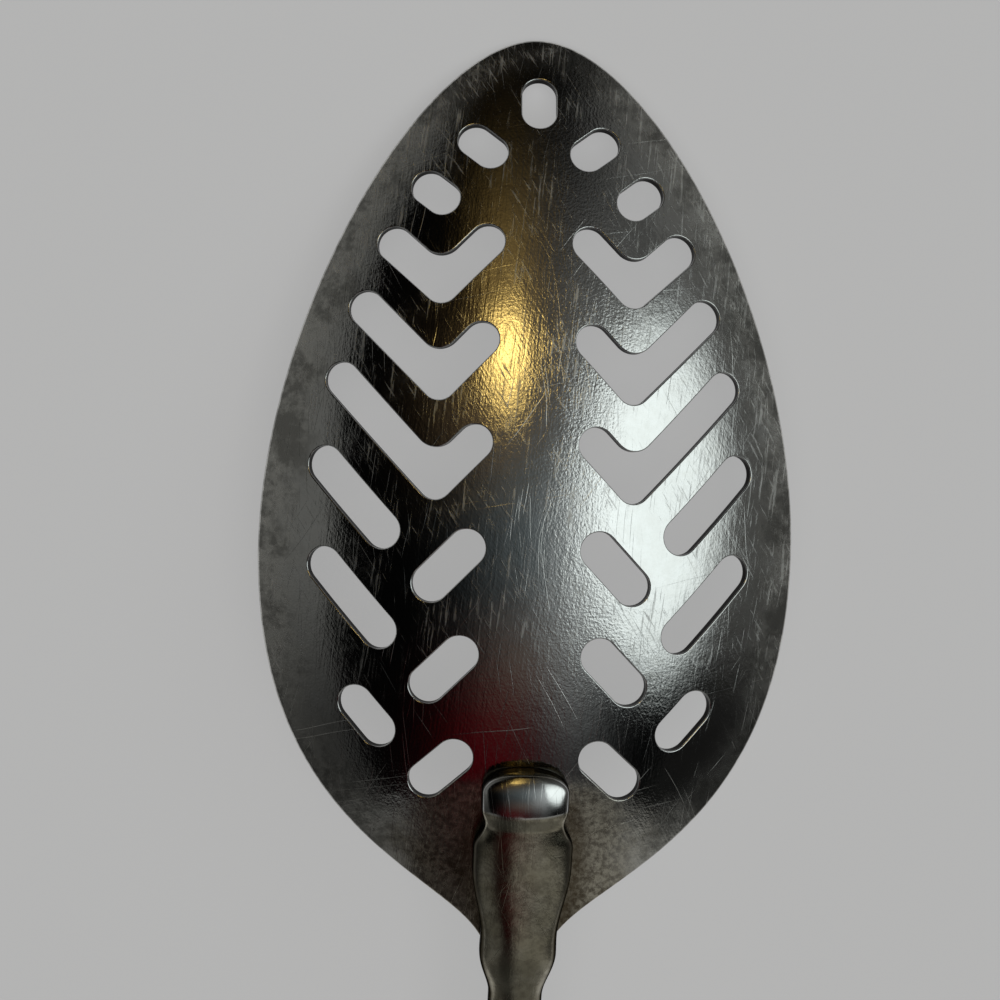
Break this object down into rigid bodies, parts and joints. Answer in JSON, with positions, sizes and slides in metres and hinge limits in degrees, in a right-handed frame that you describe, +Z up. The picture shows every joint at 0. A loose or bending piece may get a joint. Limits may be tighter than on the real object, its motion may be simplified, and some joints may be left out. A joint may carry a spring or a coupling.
{
  "type": "slotted serving spoon",
  "caption": "Slotted serving spoon: an egg-shaped stainless bowl with chevron slots, a shank welded on its back, and a riveted handle that hangs by an eyelet.",
  "frame": {"origin": "on the table, below the middle of the spoon's outline as it lies face down", "axes": "+Z up, out of the back of the bowl; +Y along the spoon from the handle to the bowl's tip; +X across it"},
  "size_m": [0.0664, 0.2972, 0.0336],
  "materials": {
    "polished_steel": "polished stainless sheet, finely scratched, duller at the rim",
    "satin_steel": "satin coined steel with a polished nose",
    "handle_black": "moulded phenolic, semi-gloss, slightly worn",
    "rivet_metal": "nickel-plated, turned"
  },
  "bodies": {
    "root": {"bowl": "polished_steel", "shank": "satin_steel", "upper_scale": "handle_black", "lower_scale": "handle_black", "front_rivet_post": "rivet_metal", "front_rivet_socket": "rivet_metal", "rear_rivet_post": "rivet_metal", "rear_rivet_socket": "rivet_metal", "hang_eyelet": "rivet_metal"}
  },
  "joints": []
}
